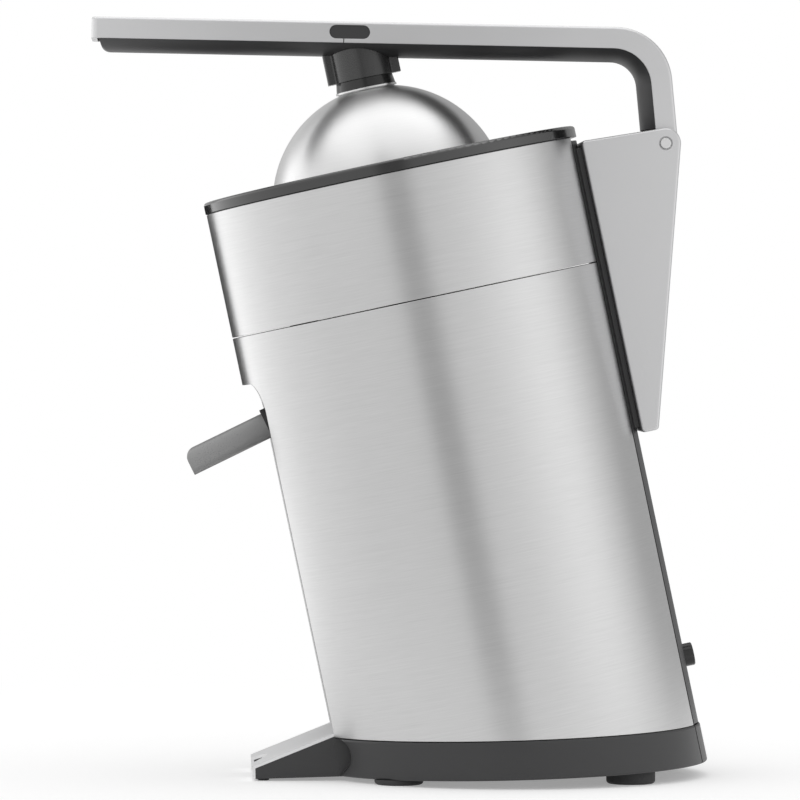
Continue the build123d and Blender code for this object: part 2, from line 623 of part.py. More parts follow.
# Gear plate and motor
def motor_parts():
    front, rear = gear_plate_ends()
    plate = block(front, rear, -GEAR_PLATE_HALF_Y, GEAR_PLATE_HALF_Y, GEAR_PLATE_BOTTOM, GEAR_PLATE_TOP)
    plate -= bar(MOTOR_BUSH_R + FIT_GAP, -FAR, 0, PRESS_X)
    plate &= bar(BODY_R - SHEET - GEAR_PLATE_CLEAR, GEAR_PLATE_BOTTOM, GEAR_PLATE_TOP)
    for x, y in rod_places():
        plate -= bar(ROD_R + FIT_GAP, -FAR, 0, x, y)
    keep("gear_plate", plate)

    pillars = [bar(PILLAR_R, GEAR_PLATE_TOP, DECK_BOTTOM, x, side * (GEAR_PLATE_HALF_Y - PILLAR_INSET))
               for x in (front + PILLAR_INSET, rear - PILLAR_INSET) for side in (-1, 1)]
    keep("gear_pillars", Compound(children=pillars))

    can_top = GEAR_PLATE_BOTTOM - MOTOR_WALL
    can_bottom = GEAR_PLATE_BOTTOM - MOTOR_LENGTH
    inner_r = MOTOR_R - MOTOR_WALL
    end_plate = tube(MOTOR_R, MOTOR_BUSH_R, can_top, GEAR_PLATE_BOTTOM)
    keep("motor_end_plate", Pos(PRESS_X, 0, 0) * end_plate)
    can = bar(MOTOR_R, can_bottom, can_top) - bar(inner_r, can_bottom + MOTOR_WALL, can_top + CUT_OVER)
    can -= bar(MOTOR_BUSH_R, -FAR, can_top)
    keep("motor_can", Pos(PRESS_X, 0, 0) * can)

    shaft_gap = MOTOR_SHAFT_R + RUN_GAP
    upper = tube(MOTOR_BUSH_R, shaft_gap, GEAR_PLATE_BOTTOM - MOTOR_BUSH_LENGTH, GEAR_PLATE_BOTTOM, PRESS_X)
    lower = tube(MOTOR_BUSH_R, shaft_gap, can_bottom, can_bottom + MOTOR_BUSH_LENGTH, PRESS_X)
    keep("motor_bushes", Compound(children=[upper, lower]))

    core_top = GEAR_PLATE_BOTTOM - MOTOR_BUSH_LENGTH - WINDING_HEIGHT - MOTOR_WALL
    core_bottom = core_top - ROTOR_LENGTH
    magnet_in = inner_r - MAGNET_T
    ring = tube(inner_r, magnet_in, core_bottom, core_top)
    spread = math.radians(MAGNET_ANGLE / 2)
    wedge = Polygon((0, 0), (FAR, -FAR * math.tan(spread)), (FAR, FAR * math.tan(spread)), align=None)
    sector = extrude(wedge, FAR, both=True)
    magnets = [Pos(PRESS_X, 0, 0) * (ring & (Rot(0, 0, turn) * sector)) for turn in (0, 180)]
    keep("motor_magnets", Compound(children=magnets))

    core_r = magnet_in - AIR_GAP
    keep("rotor_core", tube(core_r, MOTOR_SHAFT_R, core_bottom, core_top, PRESS_X))
    coil_r = core_r - WINDING_INSET
    coils = [tube(coil_r, MOTOR_SHAFT_R, core_top, core_top + WINDING_HEIGHT, PRESS_X),
             tube(coil_r, MOTOR_SHAFT_R, core_bottom - WINDING_HEIGHT, core_bottom, PRESS_X)]
    keep("rotor_windings", Compound(children=coils))
    ring_top = core_bottom - WINDING_HEIGHT
    ring_bottom = ring_top - COMMUTATOR_LENGTH
    keep("commutator", tube(COMMUTATOR_R, MOTOR_SHAFT_R, ring_bottom, ring_top, PRESS_X))
    keep("motor_shaft", bar(MOTOR_SHAFT_R, can_bottom, IDLER_TOP, PRESS_X))

    brush_in = COMMUTATOR_R + FIT_GAP
    brushes = []
    for side in (-1, 1):
        reach = sorted((side * brush_in, side * inner_r))
        brush = block(PRESS_X - BRUSH_WIDTH / 2, PRESS_X + BRUSH_WIDTH / 2, reach[0], reach[1],
                      ring_bottom + BRUSH_INSET, ring_top - BRUSH_INSET)
        brushes.append(brush & bar(inner_r, -FAR, 0, PRESS_X))
    keep("brush_holders", Compound(children=brushes))


# Spout, its socket and the chute behind it
def spout_parts():
    pivot = BARREL_SETBACK
    barrel = cross_bar(BARREL_R, -BARREL_HALF, BARREL_HALF, pivot)
    pins = cross_bar(TRUNNION_R, -SOCKET_R, SOCKET_R, pivot)
    stem = Pos((pivot - SPOUT_LENGTH) / 2, 0, 0) * Rot(0, 90, 0) * Cylinder(SPOUT_R, SPOUT_LENGTH + pivot)
    tip = block(-SPOUT_LENGTH, -SPOUT_LENGTH + SPOUT_LIP_R, -FAR, FAR, SPOUT_R - SPOUT_LIP_R, FAR)
    tip -= cross_bar(SPOUT_LIP_R, -FAR, FAR, -SPOUT_LENGTH + SPOUT_LIP_R, SPOUT_R - SPOUT_LIP_R)
    bore = Rot(0, 90, 0) * Cylinder(SPOUT_BORE_R, 4 * SPOUT_LENGTH)
    barrel &= cross_bar(BARREL_R, -SOCKET_R, SOCKET_R, pivot)
    spout = barrel + (pins & (Rot(0, 90, 0) * Cylinder(SOCKET_R - FIT_GAP, FAR))) + (stem - tip) - bore
    keep("spout", spout, BODY * SPOUT)

    depth = (SPOUT_X - NICHE_BACK) / math.cos(math.radians(SPOUT_DIP)) + SOCKET_R
    socket = Pos(depth / 2, 0, 0) * Rot(0, 90, 0) * Cylinder(SOCKET_R, depth)
    socket -= cross_bar(BARREL_R + FIT_GAP, -BARREL_HALF - SLOT_SIDE_GAP, BARREL_HALF + SLOT_SIDE_GAP, pivot)
    socket -= cross_bar(TRUNNION_R + RUN_GAP, -FAR, FAR, pivot)
    lane_half = BARREL_HALF + SLOT_SIDE_GAP
    swing = Pos(pivot, 0, 0) * Rot(0, SPOUT_SWING, 0) * Pos(-pivot, 0, 0)
    lane_low = block(-FAR, pivot, -lane_half, lane_half, -BARREL_R - FIT_GAP, BARREL_R + FIT_GAP)
    socket -= lane_low
    socket -= swing * lane_low
    socket -= Rot(0, 90, 0) * Cylinder(OUTLET_R, FAR)
    socket = (SPOUT * socket) - behind(-NICHE_BACK)
    keep("spout_socket", socket)

    wall = -NICHE_BACK + NICHE_WALL
    bottom = -SPOUT_DEPTH - SPOUT_R
    low_end = bottom - CHUTE_WALL
    stub = Pos(wall, 0, 0) * block(0, -OUTLET_X - wall, -CHUTE_R, CHUTE_R, low_end, low_end + 2 * CHUTE_R)
    chute = bar(CHUTE_R, low_end, DECK_BOTTOM, -OUTLET_X) + stub
    chute -= bar(CHUTE_R - CHUTE_WALL / 2, low_end + CHUTE_WALL, 0, -OUTLET_X)
    chute -= SPOUT * Rot(0, 90, 0) * Cylinder(OUTLET_R, 2 * (SPOUT_X - OUTLET_X))
    keep("juice_chute", chute)


# Hinge bracket on the back panel
def bracket_screw_places():
    """Screws through the bracket's front web, in Y and Z."""
    return [(side * BRACKET_SCREW_SPREAD, -level) for level in (BRACKET_SCREW_UPPER, BRACKET_SCREW_LOWER)
            for side in (-1, 1)]


def bracket_parts():
    inner_half = ARM_HALF + CHEEK_GAP
    outer_half = inner_half + CHEEK_T
    face = BODY_R + BRACKET_STAND_OFF
    pin = (HINGE_REACH, -HINGE_DEPTH)
    inset = BRACKET_CORNER_R
    corners = [(face + inset, -BRACKET_TOP_FRONT - inset), (face + inset, -BRACKET_BOTTOM + inset),
               (face + BRACKET_FOOT_DEPTH - inset, -BRACKET_BOTTOM + inset)]
    rounds = [Pos(*corner) * Circle(inset) for corner in corners] + [Pos(*pin) * Circle(CORNER_R)]
    outline = make_hull((Sketch() + rounds).edges())
    fin = rounded_sides(slab(outline, -outer_half, outer_half), BRACKET_EDGE_R)

    shrunk = offset(outline, -BRACKET_WEB)
    hollow = slab(shrunk, -inner_half, inner_half)
    top_open = block(face + 2 * BRACKET_WEB, FAR, -inner_half, inner_half, -HINGE_DEPTH - WEB_START, FAR)
    fin -= hollow
    fin -= top_open
    fin -= cross_bar(PIN_R, -FAR, FAR, *pin)
    ring_bed = outer_half - PIN_RING_DEPTH
    fin -= cross_bar(PIN_R + PIN_RING, ring_bed, FAR, *pin)
    fin -= cross_bar(PIN_R + PIN_RING, -FAR, -ring_bed, *pin)
    for y, z in bracket_screw_places():
        fin -= Pos(face, y, z) * Rot(0, 90, 0) * Cylinder(BRACKET_SCREW_R, 4 * BRACKET_WEB)
    keep("hinge_bracket", fin)

    pin_half = outer_half + PIN_PROUD
    pin_bar = cross_bar(PIN_R, -pin_half, pin_half, *pin)
    keep("hinge_pin", rounded_sides(pin_bar, PIN_PROUD))

    screws = []
    seat = face + BRACKET_WEB
    tip = REAR_CHORD + FIT_GAP
    for y, z in bracket_screw_places():
        shank = Pos((seat + tip) / 2, y, z) * Rot(0, 90, 0) * Cylinder(BRACKET_SCREW_R, seat - tip)
        head = Pos(seat + BRACKET_SCREW_HEAD_T / 2, y, z) * Rot(0, 90, 0)
        screws.append(shank + head * Cylinder(BRACKET_SCREW_HEAD_R, BRACKET_SCREW_HEAD_T))
    keep("bracket_screws", Compound(children=screws))


# The arm: channel, liner, inserts and bushes
def arm_line(depth, tip, leg_end):
    """Points of the bent arm's side view at a depth under its outer face, from the tip to the leg's end."""
    lean = math.radians(ARM_LEG_LEAN)
    top = ARM_TOP - depth
    run = (top + depth * math.sin(lean)) / math.cos(lean)
    corner_x = EYE_R - depth * math.cos(lean) - run * math.sin(lean)
    radius = ARM_BEND_R - ARM_BEND_EASE * depth
    trim = radius * math.tan((math.pi / 2 - lean) / 2)
    centre = (corner_x - trim, top - radius)
    half_way = (math.pi / 2 + lean) / 2
    middle = (centre[0] + radius * math.cos(half_way), centre[1] + radius * math.sin(half_way))
    bend_end = (corner_x + trim * math.sin(lean), top - trim * math.cos(lean))
    foot = (EYE_R - depth * math.cos(lean) - leg_end * math.sin(lean),
            -depth * math.sin(lean) + leg_end * math.cos(lean))
    return (tip, top), (corner_x - trim, top), middle, bend_end, foot


def arm_band(depth_from, depth_to, tip, leg_end):
    """Side view of the bent arm between two depths."""
    a = arm_line(depth_from, tip, leg_end)
    b = arm_line(depth_to, tip, leg_end)
    lines = [Line(a[0], a[1]), ThreePointArc(a[1], a[2], a[3]), Line(a[3], a[4]), Line(a[4], b[4]),
             Line(b[4], b[3]), ThreePointArc(b[3], b[2], b[1]), Line(b[1], b[0]), Line(b[0], a[0])]
    return make_face(Curve() + lines)


def liner_shape():
    """Grip under the channel: a bowed belly along the arm, and a tongue that sits inside the channel."""
    nose = -ARM_LENGTH + LINER_NOSE
    half = ARM_HALF - LINER_INSET
    start, bend_start, middle, bend_end, foot = arm_line(ARM_BAND, nose, LINER_LEG_END)
    spine = Wire([Line(start, bend_start), ThreePointArc(bend_start, middle, bend_end), Line(bend_end, foot)])
    bow = ThreePointArc((-half, 0), (0, -LINER_DROP), (half, 0))
    section = make_face(Curve() + [bow, Line((half, 0), (-half, 0))])
    belly = sweep(Plane.YZ.offset(start[0]) * (Pos(0, start[1]) * section), Plane.XZ * spine)
    level = start[1] - LINER_DROP
    corner = block(nose - CUT_OVER, nose + LINER_NOSE_R, -FAR, FAR, level - CUT_OVER, level + LINER_NOSE_R)
    belly -= corner - cross_bar(LINER_NOSE_R, -FAR, FAR, nose + LINER_NOSE_R, level + LINER_NOSE_R)
    tongue_half = ARM_HALF - ARM_SKIN - FIT_GAP
    return belly + slab(arm_band(2 * ARM_SKIN, ARM_BAND, nose, LINER_LEG_END), -tongue_half, tongue_half)


def arm_parts():
    frame = BODY * HINGE
    tip = -ARM_LENGTH
    inner_half = ARM_HALF - ARM_SKIN
    channel = slab(arm_band(0, ARM_BAND + 2 * ARM_EDGE_R, tip, -EYE_R), -ARM_HALF, ARM_HALF)
    tip_corners = channel.edges().filter_by(Axis.Z).group_by(Axis.X)[0]
    channel = fillet(tip_corners, ARM_TIP_R)
    channel = rounded_sides(channel, ARM_EDGE_R)
    channel -= slab(arm_band(ARM_BAND, ARM_BAND + EYE_R, tip - ARM_SKIN, -2 * EYE_R), -FAR, FAR)
    eye_half = ARM_HALF - ARM_EDGE_R
    channel += cross_bar(EYE_R - EYE_INSET, -eye_half, eye_half)
    channel -= slab(arm_band(ARM_SKIN, ARM_BAND + EYE_R, tip + ARM_SKIN, -2 * EYE_R), -inner_half, inner_half)
    channel -= cross_bar(PIN_R + RUN_GAP + BUSH_WALL, -FAR, FAR)
    insert = Pos(INSERT_X, ARM_TOP - INSERT_DROP) * SlotOverall(INSERT_LENGTH, INSERT_HEIGHT)
    channel -= slab(insert, -FAR, FAR)
    slit = block(SLIT_X - SLIT_WIDTH / 2, SLIT_X + SLIT_WIDTH / 2, -FAR, FAR,
                 ARM_TOP - ARM_BAND - CUT_OVER, ARM_TOP - INSERT_DROP)
    channel -= slit
    keep("arm_channel", channel, frame)

    insert_face = ARM_HALF - INSERT_SUNK
    pieces = [slab(insert, -insert_face, -inner_half), slab(insert, inner_half, insert_face)]
    keep("arm_inserts", Compound(children=pieces), frame)

    keep("arm_liner", liner_shape(), frame)

    bushes = []
    for side in (-1, 1):
        low, high = sorted((side * (inner_half - BUSH_FLANGE), side * (ARM_HALF + BUSH_FLANGE)))
        bush = cross_bar(PIN_R + RUN_GAP + BUSH_WALL, low, high) - cross_bar(PIN_R + RUN_GAP, -FAR, FAR)
        bushes.append(bush)
    keep("arm_bushes", Compound(children=bushes), frame)


# Dome and what hangs it under the arm
def dome_parts():
    neck_low = WASHER_LEVEL + WASHER_T
    housing_low = neck_low + NECK_HEIGHT
    ball = Sphere(DOME_R) - Sphere(DOME_R - DOME_SHEET)
    dome = Pos(PRESS_X, 0, -DOME_DEPTH) * ball
    dome -= block(-FAR, FAR, -FAR, FAR, -FAR, -DOME_DEPTH)
    dome -= above(Location(), WASHER_LEVEL)
    dome += bar(WASHER_R - DOME_SHEET, WASHER_LEVEL - DOME_SHEET, WASHER_LEVEL, PRESS_X)
    dome -= bar(BOLT_R, 0, FAR, PRESS_X)
    keep("press_dome", dome)

    keep("dome_washer", tube(WASHER_R, BOLT_R, WASHER_LEVEL, neck_low, PRESS_X))
    neck = Pos(PRESS_X, 0, (neck_low + housing_low) / 2) * Cone(NECK_R, NECK_R - NECK_TAPER, NECK_HEIGHT)
    keep("neck_ring", neck - bar(BOLT_R, 0, FAR, PRESS_X))

    housing = bar(HOUSING_R, housing_low, FAR / 2, PRESS_X)
    housing += block(PRESS_X - HOUSING_FRONT, PRESS_X + HOUSING_REAR, -HOUSING_HALF, HOUSING_HALF,
                     housing_low, FAR / 2)
    housing = fillet(housing.edges().filter_by(Axis.Z), HOUSING_EDGE_R)
    housing -= above(HINGE, ARM_TOP - ARM_BAND)
    housing -= HINGE * liner_shape()
    bolt_top = housing_low + BOLT_GRIP
    housing -= bar(BOLT_R, 0, bolt_top, PRESS_X)
    keep("dome_housing", housing)

    bolt = bar(BOLT_R, WASHER_LEVEL - DOME_SHEET, bolt_top, PRESS_X)
    bolt += bar(BOLT_HEAD_R, WASHER_LEVEL - DOME_SHEET - BOLT_HEAD_T, WASHER_LEVEL - DOME_SHEET, PRESS_X)
    keep("dome_bolt", bolt)


for make in (base_parts, rubber_feet, body_parts, switch_parts, collector_parts, drive_parts, motor_parts,
             spout_parts, bracket_parts, arm_parts, dome_parts):
    make()

os.makedirs("parts", exist_ok=True)
for name, solid in solids.items():
    export_step(solid, "parts/" + name + ".step")
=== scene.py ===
# %% [markdown]
# # A leaning citrus press
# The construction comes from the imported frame: every piece is already at its real size and place, in metres.
# This lesson adds what the frame can't hold: brushed steel that catches light in long bands, satin aluminium,
# moulded plastics, and the soft studio light that shows them.

# %% Load the frame
import bmesh
import bpy
import json
import math
from mathutils import Matrix, Vector


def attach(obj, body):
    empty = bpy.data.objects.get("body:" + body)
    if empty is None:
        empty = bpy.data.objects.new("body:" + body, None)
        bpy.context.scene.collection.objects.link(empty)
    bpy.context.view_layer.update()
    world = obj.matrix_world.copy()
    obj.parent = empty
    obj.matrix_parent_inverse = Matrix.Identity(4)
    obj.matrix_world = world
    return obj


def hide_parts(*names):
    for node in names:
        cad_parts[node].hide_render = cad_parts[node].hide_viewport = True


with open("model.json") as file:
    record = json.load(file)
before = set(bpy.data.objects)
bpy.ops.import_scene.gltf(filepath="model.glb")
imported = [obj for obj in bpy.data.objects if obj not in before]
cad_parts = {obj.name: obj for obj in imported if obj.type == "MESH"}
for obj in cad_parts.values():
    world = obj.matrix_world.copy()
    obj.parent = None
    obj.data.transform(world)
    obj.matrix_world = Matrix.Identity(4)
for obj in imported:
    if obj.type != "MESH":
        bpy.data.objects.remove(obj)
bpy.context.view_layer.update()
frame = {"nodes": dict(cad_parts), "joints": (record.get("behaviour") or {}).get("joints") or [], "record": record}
nodes = frame["nodes"]
joints = {joint["name"]: joint for joint in frame["joints"]}
MM = 0.001

# %% [markdown]
# ## Where things are
# The body leans to the front, so its pieces are drawn upright in a frame of their own and then leant over as a
# whole. The axis of the turning cone gives that lean, and a point of the rim plane. An object whose local Z is
# the body's axis has a second use: the grain of turned and brushed metal runs round local Z, with no UV map.

# %% The leaning frames
PRESS_OFFSET = 3.3 * MM         # the press axis stands this far in front of the body axis
lean_axis = Vector(joints["cone_spin"]["axis"])
LEAN = math.atan2(-lean_axis.x, lean_axis.z)
lean_turn = Matrix.Rotation(-LEAN, 4, "Y")
press_point = Vector(joints["cone_spin"]["pos_m"])
PRESS_FRAME = Matrix.Translation(press_point) @ lean_turn
BODY_FRAME = PRESS_FRAME @ Matrix.Translation((PRESS_OFFSET, 0, 0))
print("lean in degrees:", round(math.degrees(LEAN), 2))

# %% [markdown]
# ## Camera
# The photograph is a side view from far away: a long lens, nearly level, a little above the middle of the
# machine and a little to its front, so that the far edge of the niche just shows. The distance sets how much
# of the rim's ellipse shows, and the lens then sets the size in the picture.

# %% Camera
CAMERA_DISTANCE = 2.78
CAMERA_TURN = math.radians(-2.2)  # about the upright axis, to the front of the machine
CAMERA_HEIGHT = 0.2296
AIM_HEIGHT = 0.1948
PICTURE_WIDTH = 0.416           # of the middle plane, in metres
SENSOR_WIDTH = 36               # mm
lens_data = bpy.data.cameras.new("side_camera")
lens_data.sensor_width = SENSOR_WIDTH
lens_data.lens = SENSOR_WIDTH * CAMERA_DISTANCE / PICTURE_WIDTH
camera = bpy.data.objects.new("side_camera", lens_data)
bpy.context.scene.collection.objects.link(camera)
to_front = CAMERA_DISTANCE * math.sin(CAMERA_TURN)
to_side = CAMERA_DISTANCE * math.cos(CAMERA_TURN)
camera.location = (to_front, -to_side, CAMERA_HEIGHT)
aim = Vector((0, 0, AIM_HEIGHT)) - camera.location
camera.rotation_euler = aim.to_track_quat("-Z", "Y").to_euler()
bpy.context.scene.camera = camera
bpy.context.scene.view_settings.view_transform = "Standard"
print("lens in mm:", round(lens_data.lens, 1))

# %% [markdown]
# ## Shader maths as Python
# A finish is a small formula: a grain, a speckle, a little wear. Wiring Math nodes by hand hides the formula,
# so one class wraps a socket and turns + - * / into nodes. Every other node goes through one method, which
# sets the node's own settings first and then its inputs.


# %% The wire class
class Wire:
    """An output socket of a node tree. Arithmetic on it adds Math nodes."""

    def __init__(self, tree, socket=None):
        self.tree = tree
        self.socket = socket

    def node(self, kind, settings=None, inputs=None, out=0):
        made = self.tree.nodes.new(kind)
        for name, value in (settings or {}).items():
            if name == "stops":
                set_stops(made.color_ramp, value)
            else:
                setattr(made, name, value)
        for name, value in (inputs or {}).items():
            self.plug(value, made.inputs[name])
        return Wire(self.tree, made.outputs[out])

    def beside(self, out):
        """Another output of the same node."""
        return Wire(self.tree, self.socket.node.outputs[out])

    def plug(self, value, target):
        if isinstance(value, Wire):
            self.tree.links.new(value.socket, target)
        else:
            target.default_value = value

    def maths(self, operation, first, second):
        return self.node("ShaderNodeMath", {"operation": operation}, {0: first, 1: second})

    def __add__(self, other):
        return self.maths("ADD", self, other)

    def __radd__(self, other):
        return self.maths("ADD", other, self)

    def __sub__(self, other):
        return self.maths("SUBTRACT", self, other)

    def __rsub__(self, other):
        return self.maths("SUBTRACT", other, self)

    def __mul__(self, other):
        return self.maths("MULTIPLY", self, other)

    def __rmul__(self, other):
        return self.maths("MULTIPLY", other, self)

    def __truediv__(self, other):
        return self.maths("DIVIDE", self, other)

    def __rtruediv__(self, other):
        return self.maths("DIVIDE", other, self)


print("wire class ready")

# %% [markdown]
# ## Helpers for finishes
# Every finish here is built from the same few steps: the place on the piece, noise over that place, a colour
# that the noise makes lighter and darker, and a bump. Each step is a function of a wire, so a finish reads as
# a short list. Object coordinates are used throughout, because they are in metres and need no UV map.


# %% Helpers for finishes
def set_stops(ramp, stops):
    """Fill a colour ramp from (place, strength) pairs."""
    while len(ramp.elements) > 1:
        ramp.elements.remove(ramp.elements[-1])
    for index, (where, strength) in enumerate(stops):
        element = ramp.elements[0] if index == 0 else ramp.elements.new(where)
        element.position = where
        element.color = (strength, strength, strength, 1)


def material(name, fixed, varying):
    """A Principled finish: fixed socket values, and a function that gives the wires of the varying ones."""
    made = bpy.data.materials.new(name)
    made.use_nodes = True
    tree = made.node_tree
    shader = tree.nodes["Principled BSDF"]
    for socket, value in fixed.items():
        shader.inputs[socket].default_value = value
    for socket, wire in varying(Wire(tree)).items():
        tree.links.new(wire.socket, shader.inputs[socket])
    return made


def place(start):
    """The piece's own coordinates, in metres."""
    return start.node("ShaderNodeTexCoord", out="Object")


def axes(start):
    """The piece's own X, Y and Z, one wire each."""
    split = start.node("ShaderNodeSeparateXYZ", {}, {0: place(start)})
    return [split.beside(axis) for axis in range(3)]


def from_axis(x, y):
    """Distance from local Z."""
    return x.maths("SQRT", x * x + y * y, 0.0)


def between(wire, low, high):
    """1 where a wire lies between two values, and 0 elsewhere."""
    return wire.maths("GREATER_THAN", wire, low) * wire.maths("LESS_THAN", wire, high)


def noise(start, vector, scale, detail=2.0):
    """Cloudy values about 0.5 over a vector."""
    return start.node("ShaderNodeTexNoise", {"noise_dimensions": "3D"},
                      {"Vector": vector, "Scale": scale, "Detail": detail})


def uneven(value, *spreads):
    """A value, varied by wires about 0.5, each with its own spread."""
    for wire, spread in spreads:
        value = value + spread * (wire - 0.5)
    return value


def tint(wire, colour, amount):
    """A colour, made darker and lighter by a wire that runs from 0 to 1."""
    low = [channel * (1 - amount) for channel in colour]
    high = [min(1.0, channel * (1 + amount)) for channel in colour]
    factor, first, second, result = 0, 6, 7, 2  # places of the Mix node's colour sockets
    inputs = {factor: wire, first: (*low, 1), second: (*high, 1)}
    return wire.node("ShaderNodeMix", {"data_type": "RGBA"}, inputs, out=result)


def grey(start, value):
    """A colour from one wire."""
    return start.node("ShaderNodeCombineColor", {}, {0: value, 1: value, 2: value})


def bump(start, height, distance, strength, edge_radius=0.0):
    """Surface normals tilted by a height, in metres of distance, over edges that look a little rounded."""
    inputs = {"Height": height, "Distance": distance, "Strength": strength}
    if edge_radius:
        inputs["Normal"] = start.node("ShaderNodeBevel", {"samples": 4}, {"Radius": edge_radius})
    return start.node("ShaderNodeBump", {}, inputs)


print("finish helpers ready")

# %% [markdown]
# ## Brushed steel
# The body, the collector's sleeve and the dome are steel sheet, brushed while it turns, so the scratches run
# round the axis. Each scratch spreads light across itself, and a reflection is drawn out along the axis into
# a soft band. Anisotropy gives that spread. The scratches themselves are noise, stretched round the axis and
# packed along it. The dome is spun, with a finer grain, so its reflections fan out from the neck.

# %% Brushed steel
SCRATCH_PITCH = 0.35 * MM
SCRATCH_ARC = 0.16              # radians
SCRATCH_BUMP = 0.35
FINE_SHARE = 0.6                # of the short scratches, against the long ones
LONG_PITCH = 3 * SCRATCH_PITCH
LONG_ARC = 4 * SCRATCH_ARC
WAVE_PITCH = 5 * SCRATCH_PITCH
WAVE_ARC = SCRATCH_ARC / 3
WAVE_SHARE = 8.0                # of broad waves in the sheet, against the scratches
SMUDGES = 18.0                  # cells to the metre
STEEL = 0.62
DOME_STEEL = 0.72
ROUND_THE_AXIS = 0.25           # of a turn: the scratches lie across the sheet's own up direction


def round_grain(start, pitch, arc):
    """Noise stretched into lines round local Z."""
    x, y, z = axes(start)
    angle = start.maths("ARCTAN2", y, x * -1.0)
    lines = start.node("ShaderNodeCombineXYZ", {}, {0: angle / arc, 1: (z - from_axis(x, y)) / pitch})
    return noise(start, lines, 1.0, 3.0)


def brushed(tone, roughness, contrast, depth):
    """Wires of steel brushed round its axis."""
    def wires(start):
        short_lines = round_grain(start, SCRATCH_PITCH, SCRATCH_ARC)
        long_lines = round_grain(start, LONG_PITCH, LONG_ARC)
        grain = FINE_SHARE * short_lines + (1 - FINE_SHARE) * long_lines
        waves = round_grain(start, WAVE_PITCH, WAVE_ARC)
        smudge = noise(start, place(start), SMUDGES)
        return {
            "Base Color": tint(grain, (tone, tone, tone), contrast),
            "Roughness": uneven(roughness, (grain, 0.10), (smudge, 0.04)),
            "Normal": bump(start, grain + waves * WAVE_SHARE, depth, SCRATCH_BUMP),
        }
    return wires


def turned_metal(spread):
    """Fixed values of a metal that spreads its reflections along the axis."""
    return {"Metallic": 1.0, "Anisotropic": spread, "Anisotropic Rotation": ROUND_THE_AXIS}


brushed_steel = material("brushed_steel", turned_metal(0.75), brushed(STEEL, 0.34, 0.14, 0.01 * MM))
dome_steel = material("dome_steel", turned_metal(0.8), brushed(DOME_STEEL, 0.35, 0.08, 0.003 * MM))
print("finishes:", brushed_steel.name, dome_steel.name)

# %% [markdown]
# ## Satin aluminium, silver paint and bright steel
# The arm and the hinge bracket are blasted and anodised: no direction, a very fine speckle, a broad sheen.
# The foot plate is a paler silver paint. Pins, screws and shafts are turned steel. One function gives them
# all, because they differ only in colour, gloss and the depth of the speckle.

# %% Other metals
SPECKLE = 2600.0                # cells to the metre
BLOTCHES = 35.0
SPECK_SHARE = 0.6               # of the speckle in the colour, against the blotches
SPECK_BUMP = 0.5
EDGE_ROUND = 0.45 * MM          # the broken edge of a casting or a moulding


def speckled(colour, roughness, depth, amount=0.05):
    """Wires of a blasted or painted finish."""
    def wires(start):
        speck = noise(start, place(start), SPECKLE)
        cloud = noise(start, place(start), BLOTCHES)
        return {
            "Base Color": tint(SPECK_SHARE * speck + (1 - SPECK_SHARE) * cloud, colour, amount),
            "Roughness": uneven(roughness, (cloud, 0.08)),
            "Normal": bump(start, speck, depth, SPECK_BUMP, EDGE_ROUND),
        }
    return wires


def metal(name, share, *look):
    """A speckled metal. The share is less than 1 where oxide or varnish lies over it."""
    return material(name, {"Metallic": share}, speckled(*look))


satin_aluminium = metal("satin_aluminium", 1.0, (0.60, 0.60, 0.605), 0.42, 0.006 * MM)
bright_steel = metal("bright_steel", 1.0, (0.66, 0.66, 0.66), 0.25, 0.003 * MM)
zinc_steel = metal("zinc_steel", 0.9, (0.42, 0.43, 0.45), 0.45, 0.006 * MM, 0.15)
iron = metal("iron", 0.7, (0.18, 0.18, 0.18), 0.6, 0.02 * MM, 0.2)
copper = metal("copper", 1.0, (0.72, 0.36, 0.20), 0.35, 0.01 * MM, 0.15)
bronze = metal("bronze", 1.0, (0.58, 0.42, 0.22), 0.45, 0.02 * MM, 0.15)
paint_look = speckled((0.80, 0.80, 0.805), 0.65, 0.006 * MM)
silver_paint = material("silver_paint", {"Specular IOR Level": 0.2}, paint_look)
print("metals and paint:", satin_aluminium.name, silver_paint.name, "and 5 more")

# %% [markdown]
# ## Plastics and rubber
# The black mouldings come from a spark-eroded mould: a fine pebble in the gloss. The neck ring and the button
# are polished, the dome's housing is satin, and the rim ring shines most. The spout is a grey moulding.
# Rubber is dull, with a dusty speckle. The index of refraction sets how strongly each one mirrors.

# %% Plastics and rubber
PEBBLES = 1500.0                # cells to the metre
RUBBER_PEBBLES = 900.0
FLOW_MARKS = 22.0
MOULD_BUMP = 0.6
PLASTIC = 1.5                   # index of refraction


def moulded(colour, roughness, depth, pebbles=PEBBLES):
    """Wires of a moulded plastic with a pebbled gloss."""
    def wires(start):
        grain = noise(start, place(start), pebbles, 1.0)
        cloud = noise(start, place(start), FLOW_MARKS)
        return {
            "Base Color": tint(0.5 * grain + 0.5 * cloud, colour, 0.12),
            "Roughness": uneven(roughness, (cloud, 0.10), (grain, 0.06)),
            "Normal": bump(start, grain, depth, MOULD_BUMP, EDGE_ROUND),
        }
    return wires


def moulding(name, mirror, *look):
    """A moulded plastic with its index of refraction."""
    return material(name, {"IOR": mirror}, moulded(*look))


